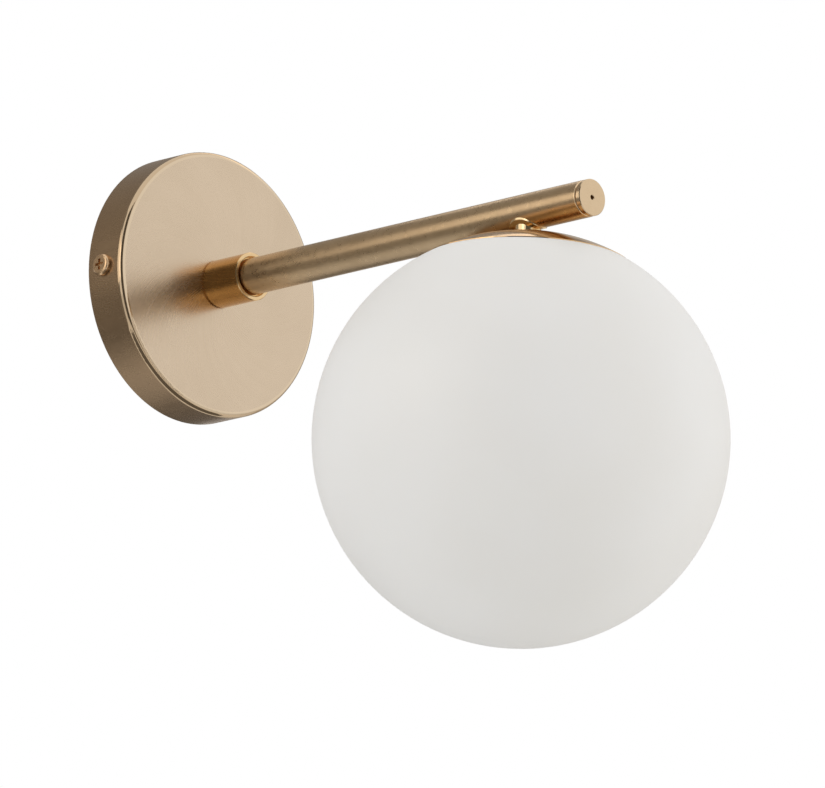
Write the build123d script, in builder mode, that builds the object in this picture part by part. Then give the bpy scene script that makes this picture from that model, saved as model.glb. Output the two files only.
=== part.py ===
from build123d import *
import math
import os

os.makedirs("parts", exist_ok=True)

# Globe wall sconce: a round canopy on the wall, a straight tubular arm, and an opal globe that
# hangs under the arm's end from a short stem.
# The wall is the plane y = 0 and the room lies at negative y. The y axis is the axis of the
# canopy and of the arm, and z is up. Sizes are in millimetres.

# ---------------------------------------------------------------- clearances
thread_gap = 0.05        # radial, between a thread and its nut or tapped hole
seat_gap = 0.05          # radial, between a turned piece and the bore that seats it
pass_gap = 0.25          # radial, in a hole that a screw or nipple only passes through
slide_gap = 0.3          # between pieces that move past each other
tab_gap = 0.4            # between the bracket's tabs and the canopy's wall

# ---------------------------------------------------------------- driving sizes
canopy_d = 100.0
canopy_depth = 17.5
canopy_sheet = 1.2
canopy_edge_r = 2.1

side_screw_d = 4.0
side_screw_len = 10.0
side_screw_head_d = 8.2
side_screw_head_h = 2.0
side_screw_level = 7.8   # from the wall
side_screw_drop = 1.8    # below the canopy's axis

bracket_sheet = 1.5
bracket_bend_r = 1.5
strap_w = 14.0
tab_reach = 14.0         # from the wall
plate_w = 36.0
plate_rise = 36.0        # above the canopy's axis
plate_drop = 15.0        # below it
plate_corner_r = 3.0
cable_hole_d = 16.0
slot_spacing = 60.0
slot_len = 14.0
slot_w = 4.5

earth_screw_d = 4.0
earth_screw_head_d = 7.0
earth_screw_head_h = 2.4
earth_screw_x = 11.0
earth_screw_drop = 9.0   # below the canopy's axis
lug_sheet = 0.8
lug_ring_d = 8.0
lug_tongue_w = 2.6
lug_barrel_d = 3.4
lug_barrel_len = 6.0
earth_washer_t = 0.6

wire_d = 2.0
lead_pitch = 2.2         # between the two leads where they run side by side
lead_bend_r = 4.0        # where the leads turn into the canopy and into the stem
wire_in_terminal = 7.0

pole_count = 3
pole_pitch = 9.0
terminal_len = 16.0
terminal_end_wall = 0.5
terminal_body_h = 6.8
terminal_floor = 1.2     # under the sleeves
terminal_level = 25.0    # middle of the block above the canopy's axis
turret_d = 6.0
turret_h = 4.0
turret_bore_d = 3.6
sleeve_d = 4.8
sleeve_bore_d = 3.0
sleeve_len = 14.0
clamp_row_spacing = 8.0
clamp_thread_d = 2.4
clamp_head_d = 3.2
clamp_head_h = 2.0
clamp_sink = 1.0         # of the clamp screws' heads below the turrets' tops
fixing_d = 3.0
fixing_head_d = 5.2
fixing_head_h = 2.0

nipple_d = 8.0
nipple_bore_d = 5.5
nipple_overhang = 1.5    # past its nut
nut_flats = 12.0
nut_h = 3.5
lock_washer_d = 14.0
lock_washer_t = 0.8
lock_washer_teeth = 12
bush_flange_d = 7.6
bush_flange_t = 1.0
bush_wall = 0.4
bush_len = 5.0

collar_d = 18.0
collar_len = 18.0
collar_bore_d = 14.9
collar_web = 4.0
collar_seat_len = 12.5
collar_edge = 0.25
collar_foot = 0.6

arm_d = 13.6
arm_wall = 1.2
arm_reach = 210.6        # from the wall to the face of the end cap
tube_edge_r = 0.6
insert_len = 12.0

cap_disc_d = 13.5
cap_disc_t = 1.7
cap_disc_edge = 0.25
cap_groove_d = 12.6
cap_groove_w = 0.55
cap_spigot_len = 8.0
cap_hole_d = 1.6
cap_hole_len = 3.0
cap_countersink_d = 2.0

shade_setback = 32.1     # from the face of the end cap back to the globe's axis
stem_gap = 2.6           # between the arm's underside and the shade cap
block_len = 16.0
block_chamfer = 0.6
block_wire_bore_d = 6.4
block_chamber = 2.5      # height of the stem's bore above the arm's axis
stem_engagement = 4.1
spacer_flange_d = 14.2    # flat, before it is bent about the arm
spacer_flange_t = 0.4
spacer_neck_d = 9.4

globe_d = 150.0
globe_wall = 2.5
shade_cap_rim_d = 75.0
shade_cap_sheet = 1.0
shade_cap_proud = 0.2    # of the glass
shade_cap_flat_d = 10.0
shoulder_gap = 0.5       # between the shade cap and the glass under it

carrier_flange_reach = 4.3   # past the thread
carrier_flange_t = 1.7
carrier_hub_d = 16.0
carrier_thread_d = 43.4
carrier_relief = 0.8
carrier_relief_len = 4.2
carrier_thread_len = 8.0
carrier_wall = 2.2
gasket_t = 1.2
gasket_inset = 0.4       # from the globe's mouth out to the gasket's inner edge
globe_neck_len = 13.0
globe_neck_wall = 2.6
globe_neck_root = 2.4    # from the seat of the gasket down to the neck's root inside
globe_blend_run = 4.2    # from the step under the cap's rim out to the even wall
globe_lip_r = 0.8
globe_root_r = 2.0

holder_sheet = 1.0
holder_strap_w = 9.0
lead_room = 9.8          # between the stem and the lampholder
holder_len = 26.0
holder_w = 14.0
holder_h = 16.0
holder_screw_spacing = 19.0
holder_foot_len = 8.0
holder_screw_d = 3.0
holder_screw_len = 14.5
holder_screw_head_d = 5.4
holder_screw_head_h = 2.0
pin_pitch = 9.0
pin_w = 2.6
pin_t = 0.8
pin_len = 11.0           # outside the lamp's base
pin_root = 3.0           # inside it
pin_gap = 0.3            # round each pin in its slot
lead_hole_depth = 4.0
contact_sheet = 0.4
contact_len = 10.0
contact_gap = 0.25       # between a pin and the contact's blades
cell_w = 4.2
cell_depth = 3.2
cell_floor = 1.5

lamp_seat_gap = 0.3
lamp_base_d = 14.4
lamp_base_len = 12.0
lamp_spigot_len = 3.0
lamp_cover_d = 16.0
lamp_cover_wall = 1.0
lamp_cover_len = 34.0
lamp_core_w = 6.6
lamp_core_len = 24.0
chip_len = 2.8
chip_w = 1.6
chip_t = 0.6
chip_rows = 4
chip_pitch = 5.2

# ---------------------------------------------------------------- planes and levels
canopy_r = canopy_d / 2
canopy_inner_r = canopy_r - canopy_sheet
canopy_floor = canopy_depth - canopy_sheet
arm_r = arm_d / 2
arm_bore_r = arm_r - arm_wall
wire_r = wire_d / 2
nipple_r = nipple_d / 2

tab_x = math.sqrt(canopy_inner_r**2 - (strap_w / 2) ** 2) - tab_gap
arm_start = canopy_depth + collar_web
tube_end = arm_reach - cap_disc_t - cap_groove_w
shade_reach = arm_reach - shade_setback
terminal_face = bracket_sheet + terminal_body_h
sleeve_level = bracket_sheet + terminal_floor + sleeve_d / 2 + seat_gap

# The stem's pieces are stacked downwards from the arm, and the globe's pieces follow them.
stem_plane = Plane(origin=(0, -shade_reach, 0), x_dir=(1, 0, 0), z_dir=(0, 0, 1))
shade_axis = Axis((0, -shade_reach, 0), (0, 0, 1))
globe_r = globe_d / 2
shade_cap_r = globe_r + shade_cap_proud
shade_cap_inner_r = shade_cap_r - shade_cap_sheet
shoulder_r = shade_cap_inner_r - shoulder_gap
globe_inner_r = globe_r - globe_wall
cap_top_z = -(arm_r + stem_gap)
globe_z = cap_top_z - math.sqrt(shade_cap_r**2 - (shade_cap_flat_d / 2) ** 2)


def rise(sphere_r, r):
    """Height above its centre of a sphere's surface at the distance r from the shade's axis."""
    return math.sqrt(sphere_r**2 - r**2)


hub_flat_r = carrier_hub_d / 2 + seat_gap
flange_r = carrier_thread_d / 2 + carrier_flange_reach
flange_top = rise(shade_cap_inner_r, flange_r) - pass_gap
flange_foot = flange_top - carrier_flange_t
lip_level = flange_foot - gasket_t
skirt_foot = flange_foot - carrier_relief_len - carrier_thread_len
mouth_r = carrier_thread_d / 2 + slide_gap
strap_foot_z = globe_z + flange_foot - holder_sheet
stem_washer_foot_z = strap_foot_z - lock_washer_t
stem_nut_foot_z = stem_washer_foot_z - nut_h
stem_foot_z = stem_nut_foot_z - nipple_overhang
stem_head_z = -arm_bore_r + stem_engagement
holder_top_z = stem_foot_z - bush_flange_t - lead_room
holder_foot_z = holder_top_z - holder_h
lamp_top_z = holder_foot_z - lamp_seat_gap


# ---------------------------------------------------------------- repeated forms
def pan_head_screw(seat, shank_d, shank_len, head_d, head_h):
    """A cross-recessed pan-head screw. The plane seat lies under its head and points out of it."""
    recess_len = 0.52 * head_d
    recess_w = 0.14 * head_d
    with BuildPart() as screw:
        with BuildSketch(seat):
            Circle(head_d / 2)
        extrude(amount=head_h)
        head_rims = screw.edges().filter_by(GeomType.CIRCLE)
        fillet(head_rims.sort_by_distance(seat.offset(head_h).origin)[0], 0.55 * head_h)
        with BuildSketch(seat.offset(head_h)):
            Rectangle(recess_len, recess_w)
            Rectangle(recess_w, recess_len)
        extrude(amount=-0.55 * head_h, taper=6, mode=Mode.SUBTRACT)
        with BuildSketch(seat):
            Circle(shank_d / 2)
        extrude(amount=-shank_len)
        shank_rims = screw.edges().filter_by(GeomType.CIRCLE)
        chamfer(shank_rims.sort_by_distance(seat.offset(-shank_len).origin)[0], 0.1 * shank_d)
    return screw


def lock_washer(seat, bore_d, outer_d, thickness):
    """A washer with teeth round its outer edge, standing on the plane seat."""
    tooth_depth = 0.1 * outer_d
    notch_w = 0.45 * math.pi * outer_d / lock_washer_teeth
    with BuildPart() as washer:
        with BuildSketch(seat):
            Circle(outer_d / 2)
            Circle(bore_d / 2, mode=Mode.SUBTRACT)
            with PolarLocations(outer_d / 2, lock_washer_teeth):
                Rectangle(2 * tooth_depth, notch_w, mode=Mode.SUBTRACT)
        extrude(amount=thickness)
    return washer


def hex_nut(seat, flats, thread_d, height):
    """A hexagon nut standing on the plane seat, with both ends of its bore chamfered."""
    with BuildPart() as nut:
        with BuildSketch(seat):
            RegularPolygon(radius=flats / 2, side_count=6, major_radius=False)
        extrude(amount=height)
        with BuildSketch(seat):
            Circle(flats / 2 + 0.4)
        extrude(amount=height, mode=Mode.INTERSECT)
        with BuildSketch(seat):
            Circle(thread_d / 2 + thread_gap)
        extrude(amount=height, mode=Mode.SUBTRACT)
    return nut


def hollow_nipple(foot, length):
    """A threaded tube that starts at the plane foot, with its outer edges chamfered."""
    with BuildPart() as nipple:
        with BuildSketch(foot):
            Circle(nipple_r)
        extrude(amount=length)
        chamfer(nipple.edges().filter_by(GeomType.CIRCLE), 0.4)
        with BuildSketch(foot):
            Circle(nipple_bore_d / 2)
        extrude(amount=length, mode=Mode.SUBTRACT)
    return nipple


def nipple_bush(seat):
    """A plastic bush whose flange stands on the plane seat and whose sleeve goes into a nipple."""
    sleeve_r = nipple_bore_d / 2 - seat_gap
    with BuildPart() as bush:
        with BuildSketch(seat):
            Circle(bush_flange_d / 2)
        extrude(amount=bush_flange_t)
        flange_rims = bush.edges().filter_by(GeomType.CIRCLE)
        fillet(flange_rims.sort_by_distance(seat.offset(bush_flange_t).origin)[0], 0.4)
        with BuildSketch(seat):
            Circle(sleeve_r)
        extrude(amount=-bush_len)
        with BuildSketch(seat.offset(bush_flange_t)):
            Circle(sleeve_r - bush_wall)
        extrude(amount=-(bush_flange_t + bush_len), mode=Mode.SUBTRACT)
    return bush


def arc_radius(before, corner, after):
    """The largest comfortable arc at a corner of a wire's route."""
    arriving = Vector(*corner) - Vector(*before)
    leaving = Vector(*after) - Vector(*corner)
    half_turn = math.radians(arriving.get_angle(leaving)) / 2
    return 0.45 * min(arriving.length, leaving.length) / math.tan(half_turn)


def wire(points, tight_corners=()):
    """A round wire along straight runs joined by arcs. The tight corners turn at lead_bend_r."""
    radii = []
    for index in range(1, len(points) - 1):
        if index in tight_corners:
            radii.append(lead_bend_r)
        else:
            radii.append(arc_radius(*points[index - 1 : index + 2]))
    with BuildPart() as core:
        with BuildLine() as route:
            FilletPolyline(*points, radius=radii)
        path = route.wires()[0]
        with BuildSketch(Plane(origin=path @ 0, z_dir=path % 0)):
            Circle(wire_r)
        sweep(path=path)
    section_volume = math.pi * wire_r**2 * path.length
    print("wire radii", [round(radius, 1) for radius in radii], "length", round(path.length, 1))
    print("volume over section times length", round(core.part.volume / section_volume, 5))
    return core


# ---------------------------------------------------------------- wall bracket
with BuildPart() as wall_bracket:
    with BuildSketch(Plane.XZ):
        Rectangle(2 * (tab_x - bracket_bend_r - bracket_sheet), strap_w)
        with Locations((0, (plate_rise - plate_drop) / 2)):
            RectangleRounded(plate_w, plate_rise + plate_drop, plate_corner_r)
        with Locations((-slot_spacing / 2, 0), (slot_spacing / 2, 0)):
            SlotOverall(slot_len, slot_w, mode=Mode.SUBTRACT)
        Circle(cable_hole_d / 2, mode=Mode.SUBTRACT)
        with Locations((earth_screw_x, -earth_screw_drop)):
            Circle(earth_screw_d / 2 + thread_gap, mode=Mode.SUBTRACT)
        with Locations((-pole_pitch / 2, terminal_level), (pole_pitch / 2, terminal_level)):
            Circle(fixing_d / 2 + thread_gap, mode=Mode.SUBTRACT)
    extrude(amount=bracket_sheet)
    bend_x = tab_x - bracket_bend_r - bracket_sheet
    bend_y = -(bracket_sheet + bracket_bend_r)
    with BuildSketch(Plane.XY.offset(-strap_w / 2)):
        with BuildLine():
            Line((bend_x, -bracket_sheet), (bend_x, 0))
            CenterArc((bend_x, bend_y), bracket_bend_r + bracket_sheet, 0, 90)
            Polyline(
                (tab_x, bend_y),
                (tab_x, -tab_reach),
                (tab_x - bracket_sheet, -tab_reach),
                (tab_x - bracket_sheet, bend_y),
            )
            CenterArc((bend_x, bend_y), bracket_bend_r, 0, 90)
        make_face()
        mirror(about=Plane.YZ)
    extrude(amount=strap_w)
    fillet(wall_bracket.edges().filter_by(Axis.X).group_by(Axis.Y)[0], strap_w / 5)
    with BuildSketch(Plane.YZ):
        with Locations((-side_screw_level, -side_screw_drop)):
            Circle(side_screw_d / 2 + thread_gap)
    extrude(amount=canopy_r, both=True, mode=Mode.SUBTRACT)
wall_bracket.part.label = "wall_bracket"
export_step(wall_bracket.part, "parts/wall_bracket.step")

# ---------------------------------------------------------------- canopy
with BuildPart() as canopy:
    with BuildSketch(Plane.XZ):
        Circle(canopy_r)
    extrude(amount=canopy_depth)
    fillet(canopy.edges().filter_by(GeomType.CIRCLE).sort_by(Axis.Y)[0], canopy_edge_r)
    offset(amount=-canopy_sheet, openings=canopy.faces().sort_by(Axis.Y)[-1])
    with BuildSketch(Plane.XZ):
        Circle(nipple_r + pass_gap)
    extrude(amount=canopy_depth, mode=Mode.SUBTRACT)
    with BuildSketch(Plane.YZ):
        with Locations((-side_screw_level, -side_screw_drop)):
            Circle(side_screw_d / 2 + pass_gap)
    extrude(amount=canopy_r, both=True, mode=Mode.SUBTRACT)
canopy.part.label = "canopy"
export_step(canopy.part, "parts/canopy.step")

# ---------------------------------------------------------------- side screws
for side, name in ((-1, "canopy_screw_left"), (1, "canopy_screw_right")):
    head_seat = Plane(
        origin=(side * canopy_r, -side_screw_level, -side_screw_drop),
        x_dir=(0, 1, 0),
        z_dir=(side, 0, 0),
    )
    canopy_screw = pan_head_screw(
        head_seat, side_screw_d, side_screw_len, side_screw_head_d, side_screw_head_h
    )
    canopy_screw.part.label = name
    export_step(canopy_screw.part, f"parts/{name}.step")

# ---------------------------------------------------------------- earth connection
earth_centre = (earth_screw_x, -earth_screw_drop)
barrel_y = -(bracket_sheet + lug_barrel_d / 2)
barrel_foot_z = -earth_screw_drop + lug_ring_d / 2 + 1.0

with BuildPart() as earth_lug:
    with BuildSketch(Plane.XZ.offset(bracket_sheet)):
        with Locations(earth_centre):
            Circle(lug_ring_d / 2)
        with Locations((earth_screw_x, (barrel_foot_z + 1 - earth_screw_drop) / 2)):
            Rectangle(lug_tongue_w, barrel_foot_z + 1 + earth_screw_drop)
        with Locations(earth_centre):
            Circle(earth_screw_d / 2 + pass_gap, mode=Mode.SUBTRACT)
    extrude(amount=lug_sheet)
    with BuildSketch(Plane.XY.offset(barrel_foot_z)):
        with Locations((earth_screw_x, barrel_y)):
            Circle(lug_barrel_d / 2)
    extrude(amount=lug_barrel_len)
    with BuildSketch(Plane.XY.offset(barrel_foot_z + 1)):
        with Locations((earth_screw_x, barrel_y)):
            Circle(wire_r + seat_gap)
    extrude(amount=lug_barrel_len, mode=Mode.SUBTRACT)
earth_lug.part.label = "earth_lug"
export_step(earth_lug.part, "parts/earth_lug.step")


def earth_seat(level):
    """The plane across the earth screw's axis at a distance from the wall, facing the room."""
    return Plane(
        origin=(earth_screw_x, -level, -earth_screw_drop), x_dir=(1, 0, 0), z_dir=(0, -1, 0)
    )


earth_washer = lock_washer(
    earth_seat(bracket_sheet + lug_sheet),
    earth_screw_d + 2 * pass_gap,
    lug_ring_d,
    earth_washer_t,
)
earth_washer.part.label = "earth_washer"
export_step(earth_washer.part, "parts/earth_washer.step")

earth_grip = lug_sheet + earth_washer_t
earth_screw = pan_head_screw(
    earth_seat(bracket_sheet + earth_grip),
    earth_screw_d,
    earth_grip + bracket_sheet - slide_gap,
    earth_screw_head_d,
    earth_screw_head_h,
)
earth_screw.part.label = "earth_screw"
export_step(earth_screw.part, "parts/earth_screw.step")

# ---------------------------------------------------------------- terminal block
terminal_w = pole_count * pole_pitch + 2 * terminal_end_wall
fixing_count = pole_count - 1

with BuildPart() as terminal_body:
    with BuildSketch(Plane.XZ.offset(bracket_sheet)):
        with Locations((0, terminal_level)):
            Rectangle(terminal_w, terminal_len)
    extrude(amount=terminal_body_h)
    chamfer(terminal_body.edges().filter_by(Axis.Y), 0.6)
    with BuildSketch(Plane.XZ.offset(terminal_face)):
        with Locations((0, terminal_level)):
            with GridLocations(pole_pitch, clamp_row_spacing, pole_count, 2):
                Circle(turret_d / 2)
    extrude(amount=turret_h)
    with BuildSketch(Plane.XY.offset(terminal_level - terminal_len / 2)):
        with Locations((0, -sleeve_level)):
            with GridLocations(pole_pitch, 0, pole_count, 1):
                Circle(sleeve_d / 2 + seat_gap)
    extrude(amount=terminal_len, mode=Mode.SUBTRACT)
    with BuildSketch(Plane.XZ.offset(sleeve_level)):
        with Locations((0, terminal_level)):
            with GridLocations(pole_pitch, clamp_row_spacing, pole_count, 2):
                Circle(turret_bore_d / 2)
    extrude(amount=terminal_face + turret_h - sleeve_level, mode=Mode.SUBTRACT)
    with BuildSketch(Plane.XZ.offset(bracket_sheet)):
        with Locations((0, terminal_level)):
            with GridLocations(pole_pitch, 0, fixing_count, 1):
                Circle(fixing_d / 2 + thread_gap)
    extrude(amount=terminal_body_h, mode=Mode.SUBTRACT)
terminal_body.part.label = "terminal_body"
export_step(terminal_body.part, "parts/terminal_body.step")

with BuildPart() as terminal_sleeves:
    with BuildSketch(Plane.XY.offset(terminal_level - sleeve_len / 2)):
        with Locations((0, -sleeve_level)):
            with GridLocations(pole_pitch, 0, pole_count, 1):
                Circle(sleeve_d / 2)
                Circle(sleeve_bore_d / 2, mode=Mode.SUBTRACT)
    extrude(amount=sleeve_len)
    with BuildSketch(Plane.XZ.offset(sleeve_level)):
        with Locations((0, terminal_level)):
            with GridLocations(pole_pitch, clamp_row_spacing, pole_count, 2):
                Circle(clamp_thread_d / 2 + thread_gap)
    extrude(amount=sleeve_d, mode=Mode.SUBTRACT)
terminal_sleeves.part.label = "terminal_sleeves"
export_step(terminal_sleeves.part, "parts/terminal_sleeves.step")

clamp_tip = sleeve_level + wire_r + seat_gap
clamp_top = terminal_face + turret_h - clamp_sink
with BuildPart() as terminal_screws:
    with BuildSketch(Plane.XZ.offset(clamp_tip)):
        with Locations((0, terminal_level)):
            with GridLocations(pole_pitch, clamp_row_spacing, pole_count, 2):
                Circle(clamp_thread_d / 2)
    extrude(amount=clamp_top - clamp_tip)
    with BuildSketch(Plane.XZ.offset(clamp_top - clamp_head_h)):
        with Locations((0, terminal_level)):
            with GridLocations(pole_pitch, clamp_row_spacing, pole_count, 2):
                Circle(clamp_head_d / 2)
    extrude(amount=clamp_head_h)
    with BuildSketch(Plane.XZ.offset(clamp_top)):
        with Locations((0, terminal_level)):
            with GridLocations(pole_pitch, clamp_row_spacing, pole_count, 2):
                Rectangle(clamp_head_d, 0.2 * clamp_head_d, rotation=35)
    extrude(amount=-0.4 * clamp_head_h, mode=Mode.SUBTRACT)
terminal_screws.part.label = "terminal_screws"
export_step(terminal_screws.part, "parts/terminal_screws.step")

fixings = []
for index in range(fixing_count):
    fixing_x = (index - (fixing_count - 1) / 2) * pole_pitch
    fixing_seat = Plane(
        origin=(fixing_x, -terminal_face, terminal_level), x_dir=(1, 0, 0), z_dir=(0, -1, 0)
    )
    fixing_len = terminal_face - slide_gap
    fixings.append(pan_head_screw(fixing_seat, fixing_d, fixing_len, fixing_head_d, fixing_head_h))
with BuildPart() as terminal_fixings:
    for fixing in fixings:
        add(fixing.part)
terminal_fixings.part.label = "terminal_fixings"
export_step(terminal_fixings.part, "parts/terminal_fixings.step")

# ---------------------------------------------------------------- canopy nipple, nut and washer
nipple_back = canopy_floor - lock_washer_t - nut_h - nipple_overhang
canopy_nipple = hollow_nipple(Plane.XZ.offset(nipple_back), arm_start + insert_len - 1 - nipple_back)
canopy_nipple.part.label = "canopy_nipple"
export_step(canopy_nipple.part, "parts/canopy_nipple.step")

canopy_washer = lock_washer(
    Plane.XZ.offset(canopy_floor - lock_washer_t),
    nipple_d + 2 * pass_gap,
    lock_washer_d,
    lock_washer_t,
)
canopy_washer.part.label = "canopy_washer"
export_step(canopy_washer.part, "parts/canopy_washer.step")

canopy_nut = hex_nut(
    Plane.XZ.offset(canopy_floor - lock_washer_t - nut_h), nut_flats, nipple_d, nut_h
)
canopy_nut.part.label = "canopy_nut"
export_step(canopy_nut.part, "parts/canopy_nut.step")

wall_side_end = Plane(origin=(0, -nipple_back, 0), x_dir=(1, 0, 0), z_dir=(0, 1, 0))
canopy_bush = nipple_bush(wall_side_end)
canopy_bush.part.label = "canopy_bush"
export_step(canopy_bush.part, "parts/canopy_bush.step")

# ---------------------------------------------------------------- collar
collar_r = collar_d / 2
collar_bore_r = collar_bore_d / 2
collar_end = -(canopy_depth + collar_len)
with BuildPart() as collar:
    with BuildSketch(Plane.XY):
        with BuildLine():
            Polyline(
                (nipple_r + pass_gap, -canopy_depth),
                (collar_r - collar_foot, -canopy_depth),
                (collar_r, -canopy_depth - collar_foot),
                (collar_r, collar_end + collar_edge),
                (collar_r - collar_edge, collar_end),
                (collar_bore_r + collar_edge, collar_end),
                (collar_bore_r, collar_end + collar_edge),
                (collar_bore_r, -arm_start - collar_seat_len),
                (arm_r + seat_gap, -arm_start - collar_seat_len),
                (arm_r + seat_gap, -arm_start),
                (nipple_r + pass_gap, -arm_start),
                close=True,
            )
        make_face()
    revolve(axis=Axis.Y)
collar.part.label = "collar"
export_step(collar.part, "parts/collar.step")

# ---------------------------------------------------------------- arm
with BuildPart() as arm_tube:
    with BuildSketch(Plane.XZ.offset(arm_start)):
        Circle(arm_r)
        Circle(arm_bore_r, mode=Mode.SUBTRACT)
    extrude(amount=tube_end - arm_start)
    room_end = arm_tube.edges().filter_by(GeomType.CIRCLE).group_by(Axis.Y)[0]
    fillet(room_end.sort_by(SortBy.RADIUS)[-1], tube_edge_r)
    with BuildSketch(stem_plane):
        Circle(nipple_r + pass_gap)
    extrude(amount=-arm_d, mode=Mode.SUBTRACT)
arm_tube.part.label = "arm_tube"
export_step(arm_tube.part, "parts/arm_tube.step")

with BuildPart() as arm_insert:
    with BuildSketch(Plane.XZ.offset(arm_start)):
        Circle(arm_bore_r - seat_gap)
        Circle(nipple_r + thread_gap, mode=Mode.SUBTRACT)
    extrude(amount=insert_len)
arm_insert.part.label = "arm_insert"
export_step(arm_insert.part, "parts/arm_insert.step")

disc_back = -(arm_reach - cap_disc_t)
spigot_r = arm_bore_r - seat_gap
with BuildPart() as arm_end_cap:
    with BuildSketch(Plane.XY):
        with BuildLine():
            Polyline(
                (0, -arm_reach),
                (cap_disc_d / 2 - cap_disc_edge, -arm_reach),
                (cap_disc_d / 2, -arm_reach + cap_disc_edge),
                (cap_disc_d / 2, disc_back),
                (cap_groove_d / 2, disc_back),
                (cap_groove_d / 2, -tube_end),
                (spigot_r, -tube_end),
                (spigot_r, -tube_end + cap_spigot_len - cap_disc_edge),
                (spigot_r - cap_disc_edge, -tube_end + cap_spigot_len),
                (0, -tube_end + cap_spigot_len),
                close=True,
            )
        make_face()
    revolve(axis=Axis.Y)
    with Locations(Plane.XZ.offset(arm_reach)):
        CounterSinkHole(cap_hole_d / 2, cap_countersink_d / 2, depth=cap_hole_len)
arm_end_cap.part.label = "arm_end_cap"
export_step(arm_end_cap.part, "parts/arm_end_cap.step")

# ---------------------------------------------------------------- stem
with BuildPart() as stem_block:
    with BuildSketch(Plane.XZ.offset(shade_reach - block_len / 2)):
        Circle(arm_bore_r - seat_gap)
    extrude(amount=block_len)
    chamfer(stem_block.edges().filter_by(GeomType.CIRCLE), block_chamfer)
    with BuildSketch(Plane.XZ.offset(shade_reach - block_len / 2)):
        Circle(block_wire_bore_d / 2)
    extrude(amount=block_len / 2, mode=Mode.SUBTRACT)
    with BuildSketch(stem_plane.offset(block_chamber)):
        Circle(nipple_r + thread_gap)
    extrude(amount=-(arm_r + block_chamber), mode=Mode.SUBTRACT)
stem_block.part.label = "stem_block"
export_step(stem_block.part, "parts/stem_block.step")

def saddle_rim(angle):
    """A point in plan on the rim of a round flange that is bent about the arm."""
    bend = spacer_flange_d / 2 * math.cos(angle) / arm_r
    return (arm_r * math.sin(bend), spacer_flange_d / 2 * math.sin(angle))


with BuildPart() as saddle_spacer:
    with BuildSketch(stem_plane.offset(cap_top_z)):
        with BuildLine():
            Spline(*[saddle_rim(math.tau * step / 16) for step in range(16)], periodic=True)
        make_face()
    extrude(amount=-cap_top_z)
    with BuildSketch(Plane.XZ.offset(shade_reach - spacer_flange_d)):
        Circle(arm_r + spacer_flange_t)
    extrude(amount=2 * spacer_flange_d, mode=Mode.INTERSECT)
    with BuildSketch(stem_plane.offset(cap_top_z)):
        Circle(spacer_neck_d / 2)
    extrude(amount=-cap_top_z)
    with BuildSketch(Plane.XZ.offset(shade_reach - spacer_flange_d)):
        Circle(arm_r)
    extrude(amount=2 * spacer_flange_d, mode=Mode.SUBTRACT)
    with BuildSketch(stem_plane.offset(cap_top_z)):
        Circle(nipple_r + seat_gap)
    extrude(amount=-cap_top_z, mode=Mode.SUBTRACT)
saddle_spacer.part.label = "saddle_spacer"
export_step(saddle_spacer.part, "parts/saddle_spacer.step")

stem_nipple = hollow_nipple(stem_plane.offset(stem_foot_z), stem_head_z - stem_foot_z)
stem_nipple.part.label = "stem_nipple"
export_step(stem_nipple.part, "parts/stem_nipple.step")

# ---------------------------------------------------------------- shade cap and carrier
shade_section = Plane(origin=(0, -shade_reach, globe_z), x_dir=(1, 0, 0), z_dir=(0, -1, 0))
cap_flat_r = shade_cap_flat_d / 2
cap_rim_r = shade_cap_rim_d / 2
cap_bore_r = nipple_r + pass_gap
with BuildPart() as shade_cap:
    with BuildSketch(shade_section):
        with BuildLine():
            Line((cap_bore_r, rise(shade_cap_r, cap_flat_r)), (cap_flat_r, rise(shade_cap_r, cap_flat_r)))
            RadiusArc(
                (cap_flat_r, rise(shade_cap_r, cap_flat_r)),
                (cap_rim_r, rise(shade_cap_r, cap_rim_r)),
                shade_cap_r,
            )
            Line((cap_rim_r, rise(shade_cap_r, cap_rim_r)), (cap_rim_r, rise(shade_cap_inner_r, cap_rim_r)))
            RadiusArc(
                (cap_rim_r, rise(shade_cap_inner_r, cap_rim_r)),
                (hub_flat_r, rise(shade_cap_inner_r, hub_flat_r)),
                -shade_cap_inner_r,
            )
            Polyline(
                (hub_flat_r, rise(shade_cap_inner_r, hub_flat_r)),
                (cap_bore_r, rise(shade_cap_inner_r, hub_flat_r)),
                (cap_bore_r, rise(shade_cap_r, cap_flat_r)),
            )
        make_face()
    revolve(axis=shade_axis)
shade_cap.part.label = "shade_cap"
export_step(shade_cap.part, "parts/shade_cap.step")

thread_r = carrier_thread_d / 2
skirt_inner_r = thread_r - carrier_wall
hub_top = rise(shade_cap_inner_r, hub_flat_r)
with BuildPart() as shade_carrier:
    with BuildSketch(shade_section):
        with BuildLine():
            Polyline(
                (cap_bore_r, hub_top),
                (carrier_hub_d / 2, hub_top),
                (carrier_hub_d / 2, flange_top),
                (flange_r, flange_top),
                (flange_r, flange_foot),
                (thread_r - carrier_relief, flange_foot),
                (thread_r - carrier_relief, flange_foot - carrier_relief_len),
                (thread_r, flange_foot - carrier_relief_len),
                (thread_r, skirt_foot),
                (skirt_inner_r, skirt_foot),
                (skirt_inner_r, flange_foot),
                (cap_bore_r, flange_foot),
                close=True,
            )
        make_face()
    revolve(axis=shade_axis)
shade_carrier.part.label = "shade_carrier"
export_step(shade_carrier.part, "parts/shade_carrier.step")

# ---------------------------------------------------------------- gasket and globe
with BuildPart() as shade_gasket:
    with BuildSketch(stem_plane.offset(globe_z + lip_level)):
        Circle(flange_r)
        Circle(mouth_r + gasket_inset, mode=Mode.SUBTRACT)
    extrude(amount=gasket_t)
shade_gasket.part.label = "shade_gasket"
export_step(shade_gasket.part, "parts/shade_gasket.step")

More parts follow.
